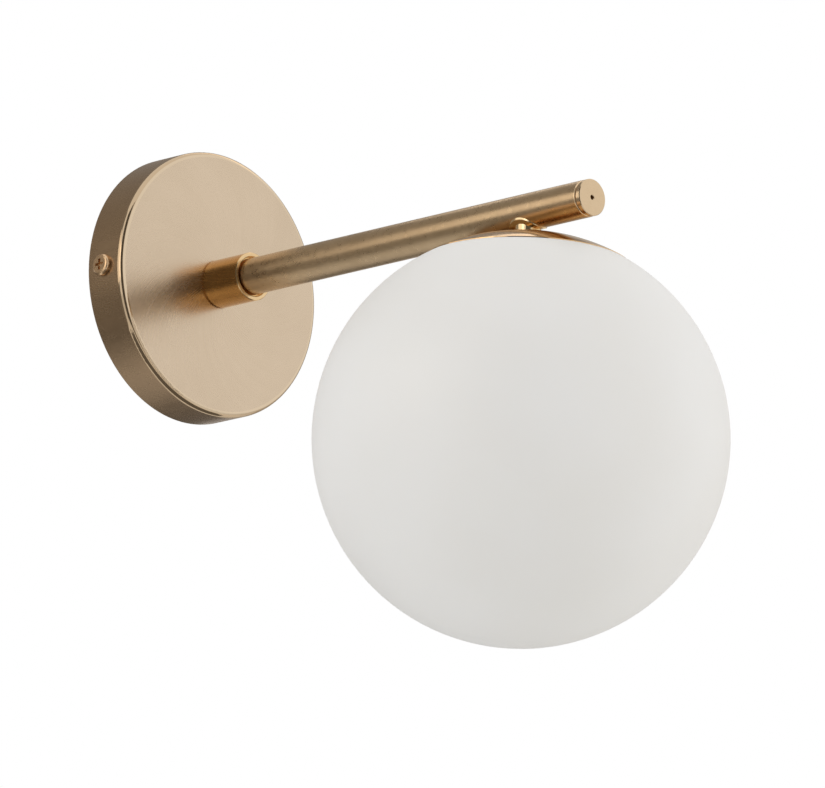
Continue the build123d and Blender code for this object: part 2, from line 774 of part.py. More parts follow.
step_r = cap_rim_r + slide_gap
seat_r = math.sqrt(shoulder_r**2 - lip_level**2)
neck_r = mouth_r + globe_neck_wall
neck_foot = lip_level - globe_neck_len
neck_root = lip_level - globe_neck_root
blend_r = step_r + globe_blend_run
with BuildPart() as globe:
    with BuildSketch(shade_section) as globe_profile:
        with BuildLine():
            ThreePointArc((0, -globe_r), (globe_r, 0), (step_r, rise(globe_r, step_r)))
            Line((step_r, rise(globe_r, step_r)), (step_r, rise(shoulder_r, step_r)))
            RadiusArc((step_r, rise(shoulder_r, step_r)), (seat_r, lip_level), -shoulder_r)
            Polyline(
                (seat_r, lip_level),
                (mouth_r, lip_level),
                (mouth_r, neck_foot),
                (neck_r, neck_foot),
                (neck_r, neck_root),
                (blend_r, rise(globe_inner_r, blend_r)),
            )
            ThreePointArc(
                (blend_r, rise(globe_inner_r, blend_r)), (globe_inner_r, 0), (0, -globe_inner_r)
            )
            Line((0, -globe_inner_r), (0, -globe_r))
        make_face()
        for corner, corner_r in (
            ((mouth_r, lip_level), globe_lip_r),
            ((mouth_r, neck_foot), globe_lip_r),
            ((neck_r, neck_foot), globe_lip_r),
            ((neck_r, neck_root), globe_root_r),
        ):
            fillet(globe_profile.vertices().sort_by_distance(corner)[0], corner_r)
    revolve(axis=shade_axis)
globe.part.label = "globe"
export_step(globe.part, "parts/globe.step")

# ---------------------------------------------------------------- stem fastening inside the globe
stem_washer = lock_washer(
    stem_plane.offset(stem_washer_foot_z), nipple_d + 2 * pass_gap, lock_washer_d, lock_washer_t
)
stem_washer.part.label = "stem_washer"
export_step(stem_washer.part, "parts/stem_washer.step")

stem_nut = hex_nut(stem_plane.offset(stem_nut_foot_z), nut_flats, nipple_d, nut_h)
stem_nut.part.label = "stem_nut"
export_step(stem_nut.part, "parts/stem_nut.step")

stem_end = Plane(origin=(0, -shade_reach, stem_foot_z), x_dir=(1, 0, 0), z_dir=(0, 0, -1))
stem_bush = nipple_bush(stem_end)
stem_bush.part.label = "stem_bush"
export_step(stem_bush.part, "parts/stem_bush.step")

# ---------------------------------------------------------------- lampholder
holder_section = Plane(origin=(0, -shade_reach, 0), x_dir=(1, 0, 0), z_dir=(0, -1, 0))
leg_x = holder_len / 2 + holder_sheet
strap_top_z = strap_foot_z + holder_sheet
foot_x = leg_x - holder_foot_len
with BuildPart() as holder_bracket:
    with BuildSketch(holder_section.offset(-holder_strap_w / 2)):
        with BuildLine():
            Polyline(
                (0, strap_top_z),
                (leg_x, strap_top_z),
                (leg_x, holder_top_z),
                (foot_x, holder_top_z),
                (foot_x, holder_top_z + holder_sheet),
                (leg_x - holder_sheet, holder_top_z + holder_sheet),
                (leg_x - holder_sheet, strap_foot_z),
                (0, strap_foot_z),
                close=True,
            )
        make_face()
        mirror(about=Plane.YZ)
    extrude(amount=holder_strap_w)
    with BuildSketch(stem_plane.offset(strap_foot_z)):
        Circle(nipple_r + seat_gap)
    extrude(amount=holder_sheet, mode=Mode.SUBTRACT)
    with BuildSketch(stem_plane.offset(holder_top_z)):
        with GridLocations(holder_screw_spacing, 0, 2, 1):
            Circle(holder_screw_d / 2 + thread_gap)
    extrude(amount=holder_sheet, mode=Mode.SUBTRACT)
holder_bracket.part.label = "holder_bracket"
export_step(holder_bracket.part, "parts/holder_bracket.step")

cell_top_z = holder_top_z - lead_hole_depth
with BuildPart() as holder_body:
    with BuildSketch(stem_plane.offset(holder_foot_z)):
        SlotOverall(holder_len, holder_w)
    extrude(amount=holder_h)
    with BuildSketch(stem_plane.offset(holder_foot_z)):
        with GridLocations(pin_pitch, 0, 2, 1):
            Rectangle(pin_w + 2 * pin_gap, pin_t + 2 * pin_gap)
    extrude(amount=cell_floor, mode=Mode.SUBTRACT)
    with BuildSketch(stem_plane.offset(holder_foot_z + cell_floor)):
        with GridLocations(pin_pitch, 0, 2, 1):
            Rectangle(cell_w, cell_depth)
    extrude(amount=cell_top_z - holder_foot_z - cell_floor, mode=Mode.SUBTRACT)
    with BuildSketch(stem_plane.offset(cell_top_z)):
        with GridLocations(pin_pitch, 0, 2, 1):
            Circle(wire_r + pass_gap)
    extrude(amount=lead_hole_depth, mode=Mode.SUBTRACT)
    with BuildSketch(stem_plane.offset(holder_foot_z)):
        with GridLocations(holder_screw_spacing, 0, 2, 1):
            Circle(holder_screw_d / 2 + pass_gap)
    extrude(amount=holder_h, mode=Mode.SUBTRACT)
    with BuildSketch(stem_plane.offset(holder_foot_z)):
        with GridLocations(holder_screw_spacing, 0, 2, 1):
            Circle(holder_screw_head_d / 2 + pass_gap)
    extrude(amount=holder_screw_head_h, mode=Mode.SUBTRACT)
holder_body.part.label = "holder_body"
export_step(holder_body.part, "parts/holder_body.step")

blade_y = pin_t / 2 + contact_gap
with BuildPart() as holder_contacts:
    with BuildSketch(stem_plane.offset(cell_top_z - contact_len)):
        with GridLocations(pin_pitch, 0, 2, 1):
            Rectangle(pin_w, 2 * (blade_y + contact_sheet))
    extrude(amount=contact_len)
    with BuildSketch(stem_plane.offset(cell_top_z - contact_len)):
        with GridLocations(pin_pitch, 0, 2, 1):
            Rectangle(pin_w, 2 * blade_y)
    extrude(amount=contact_len - contact_sheet, mode=Mode.SUBTRACT)
holder_contacts.part.label = "holder_contacts"
export_step(holder_contacts.part, "parts/holder_contacts.step")

screws = []
for side in (-1, 1):
    screw_seat = Plane(
        origin=(side * holder_screw_spacing / 2, -shade_reach, holder_foot_z + holder_screw_head_h),
        x_dir=(1, 0, 0),
        z_dir=(0, 0, -1),
    )
    screws.append(
        pan_head_screw(
            screw_seat,
            holder_screw_d,
            holder_screw_len,
            holder_screw_head_d,
            holder_screw_head_h,
        )
    )
with BuildPart() as holder_screws:
    for screw in screws:
        add(screw.part)
holder_screws.part.label = "holder_screws"
export_step(holder_screws.part, "parts/holder_screws.step")

# ---------------------------------------------------------------- leads and earth wire
sleeve_foot = terminal_level - terminal_len / 2
wire_tip_z = sleeve_foot + wire_in_terminal
for side, name in ((-1, "lead_live"), (1, "lead_neutral")):
    lane_x = side * lead_pitch / 2
    pole_x = (side - 1) / 2 * pole_pitch
    pin_x = side * pin_pitch / 2
    lead = wire(
        [
            (pole_x, -sleeve_level, wire_tip_z),
            (pole_x, -sleeve_level, sleeve_foot - 6),
            (lane_x, -sleeve_level, 0),
            (lane_x, -shade_reach, 0),
            (lane_x, -shade_reach, stem_foot_z - bush_flange_t - 1),
            (pin_x, -shade_reach, holder_top_z + 2.5),
            (pin_x, -shade_reach, cell_top_z),
        ],
        tight_corners=(2, 3),
    )
    lead.part.label = name
    export_step(lead.part, f"parts/{name}.step")

earth_wire = wire(
    [
        (pole_pitch, -sleeve_level, wire_tip_z),
        (pole_pitch, -sleeve_level, sleeve_foot - 4),
        (earth_screw_x, barrel_y, barrel_foot_z + lug_barrel_len + 3),
        (earth_screw_x, barrel_y, barrel_foot_z + 1),
    ]
)
earth_wire.part.label = "earth_wire"
export_step(earth_wire.part, "parts/earth_wire.step")

# ---------------------------------------------------------------- lamp
base_foot_z = lamp_top_z - lamp_base_len
base_spigot_r = lamp_cover_d / 2 - lamp_cover_wall - seat_gap
with BuildPart() as lamp_base:
    with BuildSketch(stem_plane.offset(base_foot_z)):
        Circle(lamp_base_d / 2)
    extrude(amount=lamp_base_len)
    fillet(lamp_base.edges().filter_by(GeomType.CIRCLE).sort_by(Axis.Z)[-1], 1.2)
    with BuildSketch(stem_plane.offset(base_foot_z)):
        Circle(base_spigot_r)
    extrude(amount=-lamp_spigot_len)
    with BuildSketch(stem_plane.offset(lamp_top_z)):
        with GridLocations(pin_pitch, 0, 2, 1):
            Rectangle(pin_w, pin_t)
    extrude(amount=-pin_root, mode=Mode.SUBTRACT)
lamp_base.part.label = "lamp_base"
export_step(lamp_base.part, "parts/lamp_base.step")

pin_middle_z = lamp_top_z + (pin_len - pin_root) / 2
loop_len = pin_len + pin_root
with BuildPart() as lamp_pins:
    with BuildSketch(holder_section.offset(-pin_t / 2)):
        with Locations((0, pin_middle_z)):
            with GridLocations(pin_pitch, 0, 2, 1):
                SlotOverall(loop_len, pin_w, rotation=90)
                SlotOverall(loop_len - 2 * pin_t, pin_w - 2 * pin_t, rotation=90, mode=Mode.SUBTRACT)
    extrude(amount=pin_t)
lamp_pins.part.label = "lamp_pins"
export_step(lamp_pins.part, "parts/lamp_pins.step")

core_top_z = base_foot_z - lamp_spigot_len
with BuildPart() as lamp_core:
    with BuildSketch(stem_plane.offset(core_top_z)):
        Rectangle(lamp_core_w, lamp_core_w)
    extrude(amount=-lamp_core_len)
    chip_middle_z = core_top_z - lamp_core_len / 2
    for turn in range(4):
        outward = Vector(1, 0, 0).rotate(Axis.Z, 90 * turn)
        face_centre = Vector(0, -shade_reach, chip_middle_z) + outward * (lamp_core_w / 2)
        with BuildSketch(Plane(origin=face_centre, x_dir=(0, 0, 1), z_dir=outward)):
            with GridLocations(chip_pitch, 0, chip_rows, 1):
                Rectangle(chip_len, chip_w)
        extrude(amount=chip_t)
lamp_core.part.label = "lamp_core"
export_step(lamp_core.part, "parts/lamp_core.step")

cover_r = lamp_cover_d / 2
cover_inner_r = cover_r - lamp_cover_wall
dome_z = base_foot_z - lamp_cover_len + cover_r
with BuildPart() as lamp_cover:
    with BuildSketch(holder_section):
        with BuildLine():
            Line((cover_inner_r, base_foot_z), (cover_r, base_foot_z))
            Line((cover_r, base_foot_z), (cover_r, dome_z))
            RadiusArc((cover_r, dome_z), (0, dome_z - cover_r), cover_r)
            Line((0, dome_z - cover_r), (0, dome_z - cover_inner_r))
            RadiusArc((0, dome_z - cover_inner_r), (cover_inner_r, dome_z), -cover_inner_r)
            Line((cover_inner_r, dome_z), (cover_inner_r, base_foot_z))
        make_face()
    revolve(axis=shade_axis)
lamp_cover.part.label = "lamp_cover"
export_step(lamp_cover.part, "parts/lamp_cover.step")
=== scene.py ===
import math

import bmesh
import bpy
from mathutils import Matrix, Vector


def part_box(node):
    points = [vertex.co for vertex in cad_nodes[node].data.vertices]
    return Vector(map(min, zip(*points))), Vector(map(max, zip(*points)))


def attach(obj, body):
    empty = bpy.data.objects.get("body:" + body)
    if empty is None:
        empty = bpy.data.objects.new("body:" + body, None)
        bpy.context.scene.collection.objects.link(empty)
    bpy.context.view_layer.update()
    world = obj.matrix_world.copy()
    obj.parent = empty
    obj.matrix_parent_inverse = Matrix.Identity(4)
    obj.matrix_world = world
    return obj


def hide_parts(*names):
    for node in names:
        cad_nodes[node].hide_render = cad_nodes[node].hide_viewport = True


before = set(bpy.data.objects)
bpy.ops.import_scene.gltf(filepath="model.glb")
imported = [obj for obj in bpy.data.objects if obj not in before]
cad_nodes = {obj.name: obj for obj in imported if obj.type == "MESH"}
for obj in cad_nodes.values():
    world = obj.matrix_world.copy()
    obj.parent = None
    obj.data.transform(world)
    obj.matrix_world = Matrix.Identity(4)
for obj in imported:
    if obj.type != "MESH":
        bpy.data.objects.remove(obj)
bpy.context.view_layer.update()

# The wall is the plane y = 0, the room is at negative y and z is up. Everything is in metres.
CANOPY_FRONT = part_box("canopy")[0].y
COLLAR_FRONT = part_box("collar")[0].y
TUBE_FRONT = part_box("arm_tube")[0].y
CANOPY_RADIUS = 0.05
CANOPY_EDGE_RADIUS = 0.0021
SCREW_CENTRE = sum(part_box("canopy_screw_left"), Vector()) / 2
SHADE_AXIS_Y = (sum(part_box("globe"), Vector()) / 2).y
LAMP_CENTRE_Z = (sum(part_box("lamp_cover"), Vector()) / 2).z
ALONG_Y = (math.radians(90), 0, 0)
ALONG_X = (0, math.radians(90), 0)
ALONG_Z = (0, 0, 0)


# ------------------------------------------------------------------ node trees
def put(tree, kind, inputs=(), **settings):
    """Adds a node. An input that is given a socket is linked to it, and any other is set."""
    node = tree.nodes.new(kind)
    for name, value in settings.items():
        setattr(node, name, value)
    for key, value in dict(inputs).items():
        if isinstance(value, bpy.types.NodeSocket):
            tree.links.new(value, node.inputs[key])
        else:
            node.inputs[key].default_value = value
    return node


def maths(tree, operation, *values):
    return put(tree, "ShaderNodeMath", enumerate(values), operation=operation).outputs[0]


def spread(tree, value, low, high, to_low=0.0, to_high=1.0):
    """Maps the range low to high onto to_low to to_high, and stops at both ends."""
    limits = {"From Min": low, "From Max": high, "To Min": to_low, "To Max": to_high}
    return put(tree, "ShaderNodeMapRange", {"Value": value, **limits}).outputs[0]


def tint(tree, share, first, second):
    """Mixes two colours, each a socket or three linear values."""
    colours = [c if isinstance(c, bpy.types.NodeSocket) else (*c, 1) for c in (first, second)]
    inputs = {0: share, 6: colours[0], 7: colours[1]}
    return put(tree, "ShaderNodeMix", inputs, data_type="RGBA").outputs[2]


def noise(tree, place, scale, detail, **more):
    """The value of a noise texture. Each of more is another of its inputs."""
    inputs = {"Vector": place, "Scale": scale, "Detail": detail, **more}
    return put(tree, "ShaderNodeTexNoise", inputs).outputs[0]


def about_axis(tree, place):
    """The three coordinates of a place and its distance from the z axis."""
    x, y, z = put(tree, "ShaderNodeSeparateXYZ", {0: place}).outputs
    flat = put(tree, "ShaderNodeCombineXYZ", {0: x, 1: y}).outputs[0]
    radius = put(tree, "ShaderNodeVectorMath", {0: flat}, operation="LENGTH").outputs[1]
    return x, y, z, radius


def new_group(name, inputs, outputs):
    """A shader node group with named inputs and outputs, its input node and its output node."""
    group = bpy.data.node_groups.new(name, "ShaderNodeTree")
    for label, value in inputs.items():
        kind = "NodeSocketVector" if value is None else "NodeSocketFloat"
        socket = group.interface.new_socket(label, in_out="INPUT", socket_type=kind)
        if value is not None:
            socket.default_value = value
    for label in outputs:
        group.interface.new_socket(label, in_out="OUTPUT", socket_type="NodeSocketFloat")
    return group, put(group, "NodeGroupInput"), put(group, "NodeGroupOutput")


def make_brushed_grain():
    """Fine scratches about the local z axis.

    Around, Outward and Along are how fast the pattern changes in those three directions, so
    the scratches run along the one with the low value. Twist turns them with the radius.
    """
    group, given, result = new_group(
        "brushed_grain",
        {"Vector": None, "Around": 20.0, "Outward": 200.0, "Along": 200.0, "Twist": 0.0},
        ["Grain", "Streaks", "Patches"],
    )
    x, y, z, radius = about_axis(group, given.outputs["Vector"])
    turned = maths(group, "MULTIPLY", radius, given.outputs["Twist"])
    angle = maths(group, "ADD", maths(group, "ARCTAN2", y, x), turned)
    round_x = maths(group, "MULTIPLY", maths(group, "COSINE", angle), given.outputs["Around"])
    round_y = maths(group, "MULTIPLY", maths(group, "SINE", angle), given.outputs["Around"])
    outward = maths(group, "MULTIPLY", radius, given.outputs["Outward"])
    along = maths(group, "MULTIPLY", z, given.outputs["Along"])
    place = put(group, "ShaderNodeCombineXYZ", {0: round_x, 1: round_y, 2: outward}).outputs[0]
    for label, scale, detail in (("Grain", 1.0, 3.0), ("Streaks", 0.34, 2.0)):
        scratches = put(
            group,
            "ShaderNodeTexNoise",
            {"Vector": place, "W": along, "Scale": scale, "Detail": detail, "Roughness": 0.6},
            noise_dimensions="4D",
        )
        group.links.new(scratches.outputs[0], result.inputs[label])
    patches = noise(group, given.outputs["Vector"], 45.0, 3.0, Roughness=0.5)
    group.links.new(patches, result.inputs["Patches"])
    return group


def make_wear_and_highlight_edges():
    """A mask of the edges, uneven along their length: the edges that hands and cloths reach, and
    the rims on which some metals carry a painted highlight.
    """
    group, given, result = new_group("wear_and_highlight_edges", {"Vector": None, "Reach": 0.0005}, ["Mask"])
    rounded = put(group, "ShaderNodeBevel", {"Radius": given.outputs["Reach"]}, samples=6)
    surface = put(group, "ShaderNodeNewGeometry")
    sameness = put(
        group,
        "ShaderNodeVectorMath",
        {0: rounded.outputs[0], 1: surface.outputs["Normal"]},
        operation="DOT_PRODUCT",
    ).outputs[1]
    edge = spread(group, sameness, 0.985, 0.86)
    uneven = noise(group, given.outputs["Vector"], 500.0, 2.0)
    worn_and_highlit = maths(group, "MULTIPLY", edge, spread(group, uneven, 0.3, 0.6, 0.55, 1.0))
    group.links.new(worn_and_highlit, result.inputs["Mask"])
    return group


def make_rolled_edge():
    """A mask of the rounded edge outside a radius about the local z axis and beyond a level."""
    group, given, result = new_group(
        "rolled_edge", {"Vector": None, "Radius": 0.048, "Level": 0.016}, ["Mask"]
    )
    _, _, z, radius = about_axis(group, given.outputs["Vector"])
    outside = maths(group, "GREATER_THAN", radius, given.outputs["Radius"])
    beyond = maths(group, "GREATER_THAN", z, given.outputs["Level"])
    group.links.new(maths(group, "MULTIPLY", outside, beyond), result.inputs["Mask"])
    return group


def make_smudges():
    """Broad soft marks from handling and dust, for the roughness."""
    group, given, result = new_group("smudges", {"Vector": None, "Size": 0.02}, ["Mask"])
    scale = maths(group, "DIVIDE", 1.0, given.outputs["Size"])
    marks = noise(group, given.outputs["Vector"], scale, 4.0, Roughness=0.55, Distortion=0.6)
    group.links.new(spread(group, marks, 0.35, 0.68), result.inputs["Mask"])
    return group


def make_fine_texture():
    """The faint unevenness of moulded, cast or fired surfaces."""
    group, given, result = new_group(
        "fine_texture", {"Vector": None, "Grain Size": 0.0004}, ["Height", "Tone"]
    )
    scale = maths(group, "DIVIDE", 1.0, given.outputs["Grain Size"])
    cells = put(
        group,
        "ShaderNodeTexVoronoi",
        {"Vector": given.outputs["Vector"], "Scale": scale},
        feature="SMOOTH_F1",
    )
    group.links.new(cells.outputs["Distance"], result.inputs["Height"])
    broad_scale = maths(group, "MULTIPLY", scale, 0.04)
    tone = noise(group, given.outputs["Vector"], broad_scale, 5.0, Roughness=0.6)
    group.links.new(spread(group, tone, 0.3, 0.7), result.inputs["Tone"])
    return group


BRUSHED_GRAIN = make_brushed_grain()
WEAR_AND_HIGHLIGHT_EDGES = make_wear_and_highlight_edges()
ROLLED_EDGE = make_rolled_edge()
SMUDGES = make_smudges()
FINE_TEXTURE = make_fine_texture()


# ------------------------------------------------------------------ materials
def new_material(name, centre=(0, 0, 0), turn=ALONG_Z):
    """A material, its tree, its shader, and coordinates about centre with the axis as local z."""
    material = bpy.data.materials.new(name)
    material.use_nodes = True
    tree = material.node_tree
    shader = tree.nodes["Principled BSDF"]
    here = put(tree, "ShaderNodeTexCoord").outputs["Object"]
    local = put(
        tree,
        "ShaderNodeMapping",
        {"Vector": here, "Location": centre, "Rotation": turn},
        vector_type="TEXTURE",
    ).outputs[0]
    return material, tree, shader, local


def use_group(tree, group, **inputs):
    """The outputs of a node that runs a group. An underscore in an input's name is a space."""
    given = {label.replace("_", " "): value for label, value in inputs.items()}
    return put(tree, "ShaderNodeGroup", given, node_tree=group).outputs


def feed(tree, shader, **sockets):
    """Links sockets to the shader's inputs of the same names."""
    for name, socket in sockets.items():
        tree.links.new(socket, shader.inputs[name.replace("_", " ")])


def bumped(tree, height, distance, **more):
    """A normal raised by height. Each of more is another input of the bump node."""
    inputs = {"Height": height, "Distance": distance, "Strength": 1.0, **more}
    return put(tree, "ShaderNodeBump", inputs).outputs[0]


def brushed_metal(
    name,
    deep,
    pale,
    worn_and_highlit,
    roughness,
    grain,
    grain_depth,
    centre=(0, 0, 0),
    turn=ALONG_Y,
    wear_reach=0.0005,
    edge_tint=0.6,
    streak_share=0.5,
    face=None,
    rolled=None,
):
    """A brushed or turned metal. grain is Around, Outward, Along and Twist of the scratches.

    face gives the part beyond a level on the axis two paler colours of its own, which are painted
    light:
    a lit face or a painted highlight on a rim. It also gives that part a share of the roughness.
    rolled is a radius, a level and the share of the roughness on a polished edge, which is also
    tinted towards the pale edge colour as a painted highlight.
    """
    material, tree, shader, local = new_material(name, centre, turn)
    around, outward, along, twist = grain
    scratches = use_group(
        tree,
        BRUSHED_GRAIN,
        Vector=local,
        Around=around,
        Outward=outward,
        Along=along,
        Twist=twist,
    )
    edges = use_group(tree, WEAR_AND_HIGHLIGHT_EDGES, Vector=local, Reach=wear_reach)["Mask"]
    marks = use_group(tree, SMUDGES, Vector=local, Size=0.018)["Mask"]
    streaks = spread(tree, scratches["Streaks"], 0.3, 0.7)
    streaks = maths(tree, "MULTIPLY", streaks, streak_share)
    patches = spread(tree, scratches["Patches"], 0.3, 0.7)
    patches = maths(tree, "MULTIPLY", patches, 1 - streak_share)
    shade = maths(tree, "ADD", streaks, patches)
    body = tint(tree, shade, deep, pale)
    uneven = spread(tree, scratches["Grain"], 0.25, 0.75, *roughness)
    uneven = maths(tree, "ADD", uneven, maths(tree, "MULTIPLY", marks, 0.03))
    # Painted light: the part beyond the level gets paler colours than the rest, as if more
    # brightly lit; its share of the roughness is real polish.
    if face:
        level, lit_face_deep, lit_face_pale, face_roughness = face
        along_axis = put(tree, "ShaderNodeSeparateXYZ", {0: local}).outputs["Z"]
        on_lit_face = spread(tree, along_axis, level - 0.0001, level)
        body = tint(tree, on_lit_face, body, tint(tree, shade, lit_face_deep, lit_face_pale))
        smoother = spread(tree, on_lit_face, 0.0, 1.0, 1.0, face_roughness)
        uneven = maths(tree, "MULTIPLY", uneven, smoother)
    if rolled:
        radius, level, edge_roughness = rolled
        on_edge = use_group(tree, ROLLED_EDGE, Vector=local, Radius=radius, Level=level)["Mask"]
        # Painted highlight: the rolled edge is tinted towards the pale edge colour as a bright
        # line of light along it; its lower roughness is real polish.
        body = tint(tree, maths(tree, "MULTIPLY", on_edge, edge_tint), body, worn_and_highlit)
        smoother = spread(tree, on_edge, 0.0, 1.0, 1.0, edge_roughness)
        uneven = maths(tree, "MULTIPLY", uneven, smoother)
    # The edges are tinted towards the pale edge colour: real wear, and on the shade cap and the
    # saddle spacer mostly a painted highlight.
    colour = tint(tree, maths(tree, "MULTIPLY", edges, edge_tint), body, worn_and_highlit)
    feed(
        tree,
        shader,
        Base_Color=colour,
        Roughness=uneven,
        Normal=bumped(tree, scratches["Grain"], grain_depth),
    )
    shader.inputs["Metallic"].default_value = 1.0
    return material


def even_material(
    name,
    deep,
    pale,
    roughness,
    size,
    depth,
    edge_colour,
    mark_size=0.01,
    edge_tint=0.4,
    **constants,
):
    """A moulded, fired, pressed or plated surface with a faint texture and paler edges.

    size and depth are those of the texture. Each of constants is set on the shader itself.
    """
    material, tree, shader, local = new_material(name)
    texture = use_group(tree, FINE_TEXTURE, Vector=local, Grain_Size=size)
    edges = use_group(tree, WEAR_AND_HIGHLIGHT_EDGES, Vector=local, Reach=0.0003)["Mask"]
    marks = use_group(tree, SMUDGES, Vector=local, Size=mark_size)["Mask"]
    body = tint(tree, texture["Tone"], deep, pale)
    feed(
        tree,
        shader,
        Base_Color=tint(tree, maths(tree, "MULTIPLY", edges, edge_tint), body, edge_colour),
        Roughness=spread(tree, marks, 0.0, 1.0, *roughness),
        Normal=bumped(tree, texture["Height"], depth),
    )
    for key, value in constants.items():
        shader.inputs[key.replace("_", " ")].default_value = value
    return material


def make_striped_insulation():
    """Green insulation with a yellow stripe wound slowly round it."""
    material, tree, shader, local = new_material("striped_insulation")
    bands = put(
        tree,
        "ShaderNodeTexWave",
        {"Vector": local, "Scale": 42.0, "Distortion": 0.4, "Detail": 1.0},
        bands_direction="DIAGONAL",
    ).outputs["Fac"]
    stripe = spread(tree, bands, 0.5, 0.6)
    texture = use_group(tree, FINE_TEXTURE, Vector=local, Grain_Size=0.0005)
    base = tint(tree, stripe, (0.02, 0.19, 0.05), (0.78, 0.60, 0.03))
    soil = spread(tree, texture["Tone"], 0.0, 1.0, 0.0, 0.25)
    marks = use_group(tree, SMUDGES, Vector=local, Size=0.006)["Mask"]
    feed(
        tree,
        shader,
        Base_Color=tint(tree, soil, base, (0.1, 0.12, 0.05)),
        Roughness=spread(tree, marks, 0.0, 1.0, 0.38, 0.5),
        Normal=bumped(tree, texture["Height"], 0.00001),
    )
    return material


def make_opal_glass():
    """Matt opal glass: acid-etched white, a little uneven in tone and very slightly wavy."""
    centre = (0, SHADE_AXIS_Y, LAMP_CENTRE_Z)
    material, tree, shader, local = new_material("opal_glass", centre)
    cloud = spread(tree, noise(tree, local, 14.0, 2.0, Roughness=0.4), 0.35, 0.65)
    wave = noise(tree, local, 22.0, 1.0, Roughness=0.4)
    texture = use_group(tree, FINE_TEXTURE, Vector=local, Grain_Size=0.0003)
    edges = use_group(tree, WEAR_AND_HIGHLIGHT_EDGES, Vector=local, Reach=0.0006)["Mask"]
    marks = use_group(tree, SMUDGES, Vector=local, Size=0.05)["Mask"]
    body = tint(tree, cloud, (0.79, 0.775, 0.75), (0.81, 0.80, 0.785))
    etched = bumped(tree, texture["Height"], 0.000004)
    feed(
        tree,
        shader,
        Base_Color=tint(tree, maths(tree, "MULTIPLY", edges, 0.3), body, (0.7, 0.69, 0.67)),
        Roughness=spread(tree, marks, 0.0, 1.0, 0.5, 0.58),
        Normal=bumped(tree, wave, 0.0004, Strength=0.5, Normal=etched),
    )
    shader.inputs["Subsurface Weight"].default_value = 0.25
    shader.inputs["Subsurface Radius"].default_value = (1.0, 0.95, 0.88)
    shader.inputs["Subsurface Scale"].default_value = 0.006
    return material


# The canopy is one brass painted as two: its face a paler lit copy, its drum a darker copy with
# painted shade.
satin_canopy = brushed_metal(
    "satin_canopy",
    deep=(0.43, 0.30, 0.186),
    pale=(0.495, 0.346, 0.213),
    worn_and_highlit=(0.78, 0.62, 0.42),
    roughness=(0.23, 0.28),
    grain=(36.0, 30.0, 140.0, -22.0),
    grain_depth=0.000002,
    wear_reach=0.0004,
    edge_tint=0.35,
    streak_share=0.3,
    # The rolled front edge gets a painted highlight line as well as a smoother polish.
    rolled=(CANOPY_RADIUS - CANOPY_EDGE_RADIUS, -CANOPY_FRONT - CANOPY_EDGE_RADIUS, 0.35),
    face=(-CANOPY_FRONT - 0.0002, (0.60, 0.475, 0.342), (0.64, 0.51, 0.372), 1.0),
)
satin_arm = brushed_metal(
    "satin_arm",
    deep=(0.55, 0.40, 0.24),
    pale=(0.63, 0.465, 0.29),
    worn_and_highlit=(0.78, 0.62, 0.42),
    roughness=(0.22, 0.36),
    grain=(3.0, 400.0, 420.0, 0.0),
    grain_depth=0.000001,
    wear_reach=0.0003,
    edge_tint=0.5,
    # Painted highlight: the rounded end of the tube is paler, as a bright line of light; its
    # smoother roughness is real polish.
    face=(-TUBE_FRONT - 0.0005, (0.66, 0.48, 0.29), (0.74, 0.55, 0.35), 0.4),
)
satin_disc = brushed_metal(
    "satin_disc",
    deep=(0.635, 0.475, 0.30),
    pale=(0.675, 0.505, 0.325),
    worn_and_highlit=(0.80, 0.63, 0.41),
    roughness=(0.20, 0.27),
    grain=(6.0, 900.0, 900.0, 0.0),
    grain_depth=0.000001,
    wear_reach=0.0003,
    edge_tint=0.3,
)
turned_screw = brushed_metal(
    "turned_screw",
    deep=(0.68, 0.46, 0.27),
    pale=(0.80, 0.56, 0.34),
    worn_and_highlit=(0.88, 0.68, 0.44),
    roughness=(0.20, 0.32),
    grain=(4.0, 3000.0, 3000.0, 0.0),
    grain_depth=0.000004,
    centre=(0, *SCREW_CENTRE.yz),
    turn=ALONG_X,
    wear_reach=0.0004,
    edge_tint=0.7,
)
polished_collar = brushed_metal(
    "polished_collar",
    deep=(0.60, 0.33, 0.11),
    pale=(0.68, 0.40, 0.15),
    worn_and_highlit=(0.86, 0.66, 0.38),
    roughness=(0.12, 0.20),
    grain=(5.0, 2500.0, 2500.0, 0.0),
    grain_depth=0.000004,
    wear_reach=0.0005,
    edge_tint=0.5,
    # Painted highlight: the collar's front rim is paler, as a bright ring of light.
    face=(-COLLAR_FRONT - 0.0001, (0.73, 0.51, 0.27), (0.80, 0.58, 0.33), 1.2),
)
# The saddle spacer's edges are tinted strongly towards cream: a little real wear and mostly
# painted highlights on the arch of its flange.
polished_saddle = brushed_metal(
    "polished_saddle",
    deep=(0.74, 0.56, 0.32),
    pale=(0.82, 0.63, 0.38),
    worn_and_highlit=(0.88, 0.70, 0.44),
    roughness=(0.12, 0.17),
    grain=(5.0, 2500.0, 2500.0, 0.0),
    grain_depth=0.000003,
    centre=(0, SHADE_AXIS_Y, 0),
    turn=ALONG_Z,
    wear_reach=0.0004,
    edge_tint=0.9,
)
